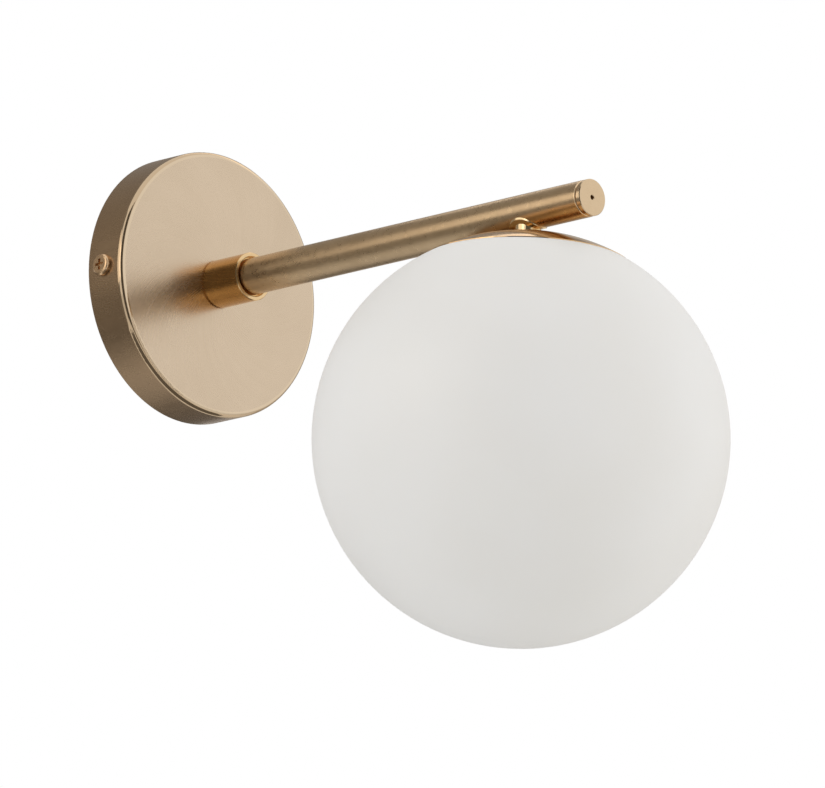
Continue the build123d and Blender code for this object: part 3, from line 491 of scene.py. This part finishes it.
# The cap's edges are tinted strongly towards cream: a little real wear and mostly a painted
# highlight, the cream line of light along the cap's rim.
spun_cap = brushed_metal(
    "spun_cap",
    deep=(0.61, 0.38, 0.17),
    pale=(0.69, 0.44, 0.21),
    worn_and_highlit=(0.92, 0.78, 0.54),
    roughness=(0.08, 0.14),
    grain=(5.0, 1600.0, 1600.0, 0.0),
    grain_depth=0.000002,
    centre=(0, SHADE_AXIS_Y, 0),
    turn=ALONG_Z,
    wear_reach=0.0005,
    edge_tint=0.9,
)
turned_aluminium = brushed_metal(
    "turned_aluminium",
    deep=(0.56, 0.56, 0.57),
    pale=(0.70, 0.70, 0.71),
    worn_and_highlit=(0.82, 0.82, 0.83),
    roughness=(0.22, 0.34),
    grain=(4.0, 2600.0, 2600.0, 0.0),
    grain_depth=0.000008,
    centre=(0, SHADE_AXIS_Y, 0),
    turn=ALONG_Z,
)
zinc_steel = even_material(
    "zinc_steel",
    deep=(0.42, 0.43, 0.42),
    pale=(0.60, 0.60, 0.58),
    roughness=(0.24, 0.42),
    size=0.0009,
    depth=0.00001,
    edge_colour=(0.72, 0.72, 0.72),
    mark_size=0.008,
    edge_tint=0.5,
    Metallic=1.0,
)
tinned_metal = even_material(
    "tinned_metal",
    deep=(0.60, 0.59, 0.57),
    pale=(0.74, 0.73, 0.70),
    roughness=(0.16, 0.30),
    size=0.0005,
    depth=0.000006,
    edge_colour=(0.83, 0.80, 0.74),
    mark_size=0.008,
    edge_tint=0.5,
    Metallic=1.0,
)
ceramic = even_material(
    "ceramic",
    deep=(0.66, 0.63, 0.56),
    pale=(0.76, 0.74, 0.68),
    roughness=(0.30, 0.48),
    size=0.0006,
    depth=0.00003,
    edge_colour=(0.6, 0.55, 0.48),
    Coat_Weight=0.2,
    Coat_Roughness=0.2,
)
white_nylon = even_material(
    "white_nylon",
    deep=(0.68, 0.68, 0.65),
    pale=(0.77, 0.77, 0.74),
    roughness=(0.36, 0.5),
    size=0.0004,
    depth=0.00001,
    edge_colour=(0.84, 0.84, 0.82),
)
black_nylon = even_material(
    "black_nylon",
    deep=(0.012, 0.012, 0.013),
    pale=(0.028, 0.028, 0.03),
    roughness=(0.4, 0.55),
    size=0.0004,
    depth=0.00001,
    edge_colour=(0.09, 0.09, 0.09),
)
silicone = even_material(
    "silicone",
    deep=(0.50, 0.50, 0.48),
    pale=(0.60, 0.60, 0.58),
    roughness=(0.5, 0.62),
    size=0.0005,
    depth=0.00001,
    edge_colour=(0.66, 0.66, 0.65),
)
brown_insulation = even_material(
    "brown_insulation",
    deep=(0.085, 0.030, 0.012),
    pale=(0.125, 0.048, 0.020),
    roughness=(0.36, 0.5),
    size=0.0005,
    depth=0.00001,
    edge_colour=(0.16, 0.07, 0.03),
)
blue_insulation = even_material(
    "blue_insulation",
    deep=(0.012, 0.055, 0.30),
    pale=(0.022, 0.095, 0.42),
    roughness=(0.36, 0.5),
    size=0.0005,
    depth=0.00001,
    edge_colour=(0.05, 0.16, 0.5),
)
frosted_cover = even_material(
    "frosted_cover",
    deep=(0.74, 0.74, 0.72),
    pale=(0.82, 0.82, 0.80),
    roughness=(0.45, 0.58),
    size=0.0003,
    depth=0.00001,
    edge_colour=(0.86, 0.86, 0.85),
)
striped_insulation = make_striped_insulation()
opal_glass = make_opal_glass()

FINISHES = {
    "canopy": satin_canopy,
    "arm_tube": satin_arm,
    "arm_end_cap": satin_disc,
    "canopy_screw_left": turned_screw,
    "canopy_screw_right": turned_screw,
    "collar": polished_collar,
    "saddle_spacer": polished_saddle,
    "shade_cap": spun_cap,
    "shade_carrier": turned_aluminium,
    "globe": opal_glass,
    "shade_gasket": silicone,
    "wall_bracket": zinc_steel,
    "earth_screw": zinc_steel,
    "earth_washer": zinc_steel,
    "canopy_nipple": zinc_steel,
    "canopy_nut": zinc_steel,
    "canopy_washer": zinc_steel,
    "stem_nipple": zinc_steel,
    "stem_nut": zinc_steel,
    "stem_washer": zinc_steel,
    "arm_insert": zinc_steel,
    "stem_block": zinc_steel,
    "terminal_fixings": zinc_steel,
    "terminal_screws": zinc_steel,
    "holder_screws": zinc_steel,
    "holder_bracket": zinc_steel,
    "earth_lug": tinned_metal,
    "terminal_sleeves": tinned_metal,
    "holder_contacts": tinned_metal,
    "lamp_pins": tinned_metal,
    "holder_body": ceramic,
    "terminal_body": white_nylon,
    "lamp_base": white_nylon,
    "lamp_core": white_nylon,
    "canopy_bush": black_nylon,
    "stem_bush": black_nylon,
    "lead_live": brown_insulation,
    "lead_neutral": blue_insulation,
    "earth_wire": striped_insulation,
    "lamp_cover": frosted_cover,
}
for name, finish in FINISHES.items():
    for held in cad_nodes[name].material_slots:
        held.material = finish


# ------------------------------------------------------------------ screw threads
def height_above(tree, height):
    return put(tree, "ShaderNodeCombineXYZ", {"Z": height}).outputs[0]


def make_thread_tree():
    """A ridge wound along the z axis, with or without the threaded tube that carries it."""
    tree = bpy.data.node_groups.new("helical_thread", "GeometryNodeTree")
    lengths = ("Root Radius", "Bore Radius", "Ridge Height", "Pitch", "Length")
    kinds = {label: "NodeSocketFloat" for label in lengths}
    kinds.update({"With Tube": "NodeSocketBool", "Finish": "NodeSocketMaterial"})
    sizes = {
        label: tree.interface.new_socket(label, in_out="INPUT", socket_type=kind).identifier
        for label, kind in kinds.items()
    }
    tree.interface.new_socket("Geometry", in_out="OUTPUT", socket_type="NodeSocketGeometry")
    given = put(tree, "NodeGroupInput").outputs
    root, bore, ridge = given["Root Radius"], given["Bore Radius"], given["Ridge Height"]
    length = given["Length"]

    # The ridge stops two ridge heights short of each end.
    wound = maths(tree, "SUBTRACT", length, maths(tree, "MULTIPLY", ridge, 4.0))
    spiral = put(
        tree,
        "GeometryNodeCurveSpiral",
        {
            "Resolution": 48,
            "Rotations": maths(tree, "DIVIDE", wound, given["Pitch"]),
            "Start Radius": root,
            "End Radius": root,
            "Height": wound,
        },
    ).outputs[0]
    start = height_above(tree, maths(tree, "MULTIPLY", ridge, 2.0))
    raised = put(tree, "GeometryNodeTransform", {"Geometry": spiral, "Translation": start})
    upright = put(tree, "GeometryNodeSetCurveNormal", {0: raised.outputs[0]}, mode="Z_UP")
    section = put(tree, "GeometryNodeCurvePrimitiveCircle", {"Resolution": 4, "Radius": ridge})
    coil = put(
        tree,
        "GeometryNodeCurveToMesh",
        {"Curve": upright.outputs[0], "Profile Curve": section.outputs[0], "Fill Caps": True},
    ).outputs[0]

    middle = maths(tree, "MULTIPLY", maths(tree, "ADD", root, bore), 0.5)
    ring = put(tree, "GeometryNodeCurvePrimitiveCircle", {"Resolution": 64, "Radius": middle})
    wall = put(
        tree,
        "GeometryNodeCurvePrimitiveQuadrilateral",
        {"Width": maths(tree, "SUBTRACT", root, bore), "Height": length},
    )
    tube = put(
        tree,
        "GeometryNodeCurveToMesh",
        {"Curve": ring.outputs[0], "Profile Curve": wall.outputs[0]},
    ).outputs[0]
    halfway = height_above(tree, maths(tree, "MULTIPLY", length, 0.5))
    placed = put(tree, "GeometryNodeTransform", {"Geometry": tube, "Translation": halfway})
    chosen = put(
        tree,
        "GeometryNodeSwitch",
        {"Switch": given["With Tube"], "True": placed.outputs[0]},
        input_type="GEOMETRY",
    ).outputs[0]

    joined = put(tree, "GeometryNodeJoinGeometry", {0: coil})
    tree.links.new(chosen, joined.inputs[0])
    real = put(tree, "GeometryNodeRealizeInstances", {0: joined.outputs[0]}).outputs[0]
    dressed = {"Geometry": real, "Material": given["Finish"]}
    put(tree, "NodeGroupOutput", {0: put(tree, "GeometryNodeSetMaterial", dressed).outputs[0]})
    return tree, sizes


THREAD_TREE, THREAD_SIZES = make_thread_tree()
TOUCHING = 0.0000005


def thread(name, place, finish, slot, replaced=None, **sizes):
    """A real mesh of the thread tree on the fixture, put in its place in the scene."""
    holder = bpy.data.objects.new(name, bpy.data.meshes.new(name + "_start"))
    bpy.context.scene.collection.objects.link(holder)
    maker = holder.modifiers.new("thread", "NODES")
    maker.node_group = THREAD_TREE
    for label, value in {**sizes, "Finish": finish}.items():
        maker[THREAD_SIZES[label.replace("_", " ")]] = value
    bpy.context.view_layer.update()
    evaluated = holder.evaluated_get(bpy.context.evaluated_depsgraph_get())
    mesh = bpy.data.meshes.new_from_object(evaluated)
    bpy.data.objects.remove(holder)
    mesh.transform(place)
    repair = bmesh.new()
    repair.from_mesh(mesh)
    bmesh.ops.remove_doubles(repair, verts=repair.verts, dist=TOUCHING)
    bmesh.ops.recalc_face_normals(repair, faces=repair.faces)
    repair.to_mesh(mesh)
    repair.free()
    piece = bpy.data.objects.new(name, mesh)
    bpy.context.scene.collection.objects.link(piece)
    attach(piece, "fixture")
    if replaced:
        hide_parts(replaced)


# The nipples' thread, as shares of the nipples' outer radius.
NIPPLE_ROOT = 0.9
NIPPLE_BORE = 0.6875
NIPPLE_RIDGE = 0.095
NIPPLE_PITCH = 0.001
TO_ROOM = Matrix.Rotation(math.radians(90), 4, "X")

for node in ("canopy_nipple", "stem_nipple"):
    low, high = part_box(node)
    outer = (high.x - low.x) / 2
    if node == "canopy_nipple":
        length = high.y - low.y
        place = Matrix.Translation((0, high.y, 0)) @ TO_ROOM
    else:
        length = high.z - low.z
        place = Matrix.Translation(((low.x + high.x) / 2, (low.y + high.y) / 2, low.z))
    thread(
        node + "_thread",
        place,
        zinc_steel,
        "zinc_steel",
        node,
        Root_Radius=outer * NIPPLE_ROOT,
        Bore_Radius=outer * NIPPLE_BORE,
        Ridge_Height=outer * NIPPLE_RIDGE,
        Pitch=NIPPLE_PITCH,
        Length=length,
        With_Tube=True,
    )

# The skirt's thread has the pitch that couples the joints globe_turn and globe_lower.
SKIRT_RADIUS = 0.0217
SKIRT_RIDGE = 0.0002
SKIRT_PITCH = 0.004
SKIRT_THREAD_LENGTH = 0.008

thread(
    "carrier_thread",
    Matrix.Translation((0, SHADE_AXIS_Y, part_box("shade_carrier")[0].z)),
    turned_aluminium,
    "turned_aluminium",
    Root_Radius=SKIRT_RADIUS,
    Ridge_Height=SKIRT_RIDGE,
    Pitch=SKIRT_PITCH,
    Length=SKIRT_THREAD_LENGTH,
    With_Tube=False,
)


# ------------------------------------------------------------------ stage
def stage_sheet(name, width, height, material, place):
    """A flat sheet of the stage, drawn about the origin and then put in its place."""
    mesh = bpy.data.meshes.new(name)
    w, h = width / 2, height / 2
    mesh.from_pydata([(-w, -h, 0), (w, -h, 0), (w, h, 0), (-w, h, 0)], [], [(0, 1, 2, 3)])
    mesh.transform(place)
    mesh.materials.append(material)
    sheet = bpy.data.objects.new(name, mesh)
    bpy.context.scene.collection.objects.link(sheet)
    return sheet


FLOOR_WIDTH = 14
FLOOR_PLACE = Matrix.Translation((0, 0, -1.6))


def make_floor():
    """A pale floor, well below the light as on a real wall. It is clear when seen from below."""
    material, tree, shader, _ = new_material("pale_floor")
    shader.inputs["Base Color"].default_value = (0.82, 0.82, 0.81, 1)
    shader.inputs["Roughness"].default_value = 0.9
    output = tree.nodes["Material Output"]
    side = put(tree, "ShaderNodeNewGeometry").outputs["Backfacing"]
    clear = put(tree, "ShaderNodeBsdfTransparent").outputs[0]
    mixed = put(tree, "ShaderNodeMixShader", {0: side, 1: shader.outputs[0], 2: clear}).outputs[0]
    tree.links.new(mixed, output.inputs["Surface"])
    stage_sheet("floor", FLOOR_WIDTH, FLOOR_WIDTH, material, FLOOR_PLACE)


def glow(name, strength):
    """A surface of an even warm light."""
    material = bpy.data.materials.new(name)
    material.use_nodes = True
    tree = material.node_tree
    tree.nodes.clear()
    warm = (1.0, 0.93, 0.84, 1)
    lit = put(tree, "ShaderNodeEmission", {"Color": warm, "Strength": strength}).outputs[0]
    put(tree, "ShaderNodeOutputMaterial", {"Surface": lit})
    return material


AIM = Vector((0.0, -0.11, -0.05))
CAP_EDGE = Vector((-0.018, -0.195, -0.0165))
CAP_TOP = Vector((0.0, -0.178, -0.01))
NECK = Vector((0.0, -0.178, -0.012))
BEYOND_ARM = Vector((-0.10, -0.254, 0.0))


def facing(azimuth, elevation, distance, centre=AIM):
    """The place of something that looks at centre. Azimuth 0 is in the room, and 90 is at +x."""
    a, e = math.radians(azimuth), math.radians(elevation)
    away = Vector((math.sin(a) * math.cos(e), -math.cos(a) * math.cos(e), math.sin(e)))
    turn = away.to_track_quat("Z", "Y").to_matrix().to_4x4()
    return Matrix.Translation(centre + away * distance) @ turn


def reflector(name, strength, width, height, azimuth, elevation, distance, centre=AIM):
    """A glowing or dark card that only the object's gloss sees."""
    card = stage_sheet(
        name, width, height, glow(name, strength), facing(azimuth, elevation, distance, centre)
    )
    card.visible_camera = False
    card.visible_diffuse = False
    card.visible_shadow = False
    card.visible_transmission = False


def lamp(name, power, size, azimuth, elevation, distance, colour):
    """A round soft lamp that doesn't show in the object's gloss."""
    light = bpy.data.lights.new(name, "AREA")
    light.energy = power
    light.shape = "DISK"
    light.size = size
    light.color = colour
    holder = bpy.data.objects.new(name, light)
    holder.matrix_world = facing(azimuth, elevation, distance)
    holder.visible_glossy = False
    bpy.context.scene.collection.objects.link(holder)


make_floor()
reflector("upper_card_back", 0.30, 5.6, 2.6, 180, 34, 2.4)
reflector("lower_card_back", 0.16, 7.2, 4.2, 178, -42, 2.3)
reflector("card_left", 0.24, 2.0, 5.4, -128, 2, 2.5)
reflector("lower_card_front", 0.20, 3.6, 2.6, -8, -50, 2.6)
reflector("card_below", 0.16, 3.4, 2.0, 0, -86, 1.5)
reflector("card_right", 0.5, 2.2, 2.6, 112, 6, 2.6)
reflector("camera_card", 0.11, 2.2, 5.6, -44, 4, 2.7)
reflector("arm_card", 1.28, 0.34, 0.24, -134, 12, 0.45, BEYOND_ARM)
reflector("cap_strip", 1.45, 0.30, 0.038, 130, 44, 0.3, CAP_EDGE)
reflector("cap_card", 0.45, 0.12, 0.06, 136, 18, 0.3, CAP_TOP)
reflector("neck_card", 2.2, 0.34, 0.26, -98, 13, 0.60, NECK)
lamp("key_lamp", 16, 3.2, 60, -8, 3.0, (1.0, 0.99, 0.985))
lamp("fill_lamp", 11, 3.2, -125, -8, 3.2, (1.0, 0.995, 0.985))

world = bpy.data.worlds.new("studio")
bpy.context.scene.world = world
world.use_nodes = True
studio = world.node_tree
studio.nodes.clear()
rays = put(studio, "ShaderNodeLightPath").outputs
gloss_or_glass = maths(studio, "MAXIMUM", rays["Is Glossy Ray"], rays["Is Transmission Ray"])
seen = maths(studio, "MAXIMUM", rays["Is Camera Ray"], gloss_or_glass)
room, white = (
    put(studio, "ShaderNodeBackground", {"Color": (*colour, 1), "Strength": strength}).outputs[0]
    for colour, strength in (((1.0, 0.995, 0.985), 0.97), ((1.0, 1.0, 1.0), 1.0))
)
sky = put(studio, "ShaderNodeMixShader", {0: seen, 1: room, 2: white}).outputs[0]
put(studio, "ShaderNodeOutputWorld", {"Surface": sky})


# ------------------------------------------------------------------ camera
VIEW_AZIMUTH, VIEW_ELEVATION, VIEW_ROLL = -44.23, -14.48, -2.06
VIEW_DISTANCE = 3.770
VIEW_CENTRE = Vector((0.0118, -0.1099, -0.0543))
FILM_WIDTH = 36.0
FOCAL_LENGTH = 451.97

camera = bpy.data.objects.new("camera", bpy.data.cameras.new("camera"))
bpy.context.scene.collection.objects.link(camera)
upright = facing(VIEW_AZIMUTH, VIEW_ELEVATION, VIEW_DISTANCE, VIEW_CENTRE)
camera.matrix_world = upright @ Matrix.Rotation(math.radians(-VIEW_ROLL), 4, "Z")
camera.data.sensor_width = FILM_WIDTH
camera.data.lens = FOCAL_LENGTH
camera.data.clip_start = 0.1
camera.data.clip_end = 100.0
bpy.context.scene.camera = camera
bpy.context.scene.view_settings.view_transform = "Standard"
